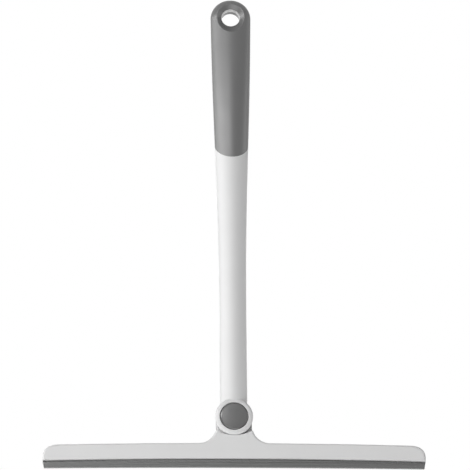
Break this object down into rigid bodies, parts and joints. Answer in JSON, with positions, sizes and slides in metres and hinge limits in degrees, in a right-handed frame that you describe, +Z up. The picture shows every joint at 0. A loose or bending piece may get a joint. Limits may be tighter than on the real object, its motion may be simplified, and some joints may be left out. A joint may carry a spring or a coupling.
{
  "type": "window squeegee",
  "caption": "Window squeegee with a long tapered handle, soft grip with a hanging hole, push-button swivel head and a clamped rubber blade.",
  "frame": {"origin": "centre of the hanging hole, in the middle of the handle's thickness", "axes": "+Z up along the handle, +X along the blade, the button side faces -Y and the back faces +Y"},
  "size_m": [0.3, 0.0218, 0.3988],
  "materials": {
    "white_plastic": "satin moulded",
    "grey_soft_grip": "soft-touch matte",
    "blade_rubber": "matte rubber",
    "acetal": "smooth",
    "brake_lining": "matte",
    "steel": "zinc plated"
  },
  "bodies": {
    "handle": {"handle_shaft": "white_plastic", "hanging_eye": "white_plastic", "soft_grip": "grey_soft_grip", "thrust_washer": "acetal"},
    "button": {"push_button": "grey_soft_grip", "brake_cone": "acetal"},
    "head": {"head_front_shell": "white_plastic", "head_rear_shell": "white_plastic", "rubber_blade": "blade_rubber", "shell_screws": "steel", "brake_ring": "brake_lining", "brake_spring": "steel", "pivot_washer": "steel", "pivot_screw": "steel"}
  },
  "joints": [
    {"name": "head_swivel", "type": "hinge", "parent": "handle", "child": "head", "pos_m": [0, 0, -0.341], "axis": [0, 1, 0], "range_deg": [-90, 90]},
    {"name": "button_press", "type": "slide", "parent": "handle", "child": "button", "axis": [0, 1, 0], "range_m": [0, 0.0025], "stiffness_N_per_m": 2500, "springref_m": -0.0049, "deforming": ["brake_spring"]}
  ]
}
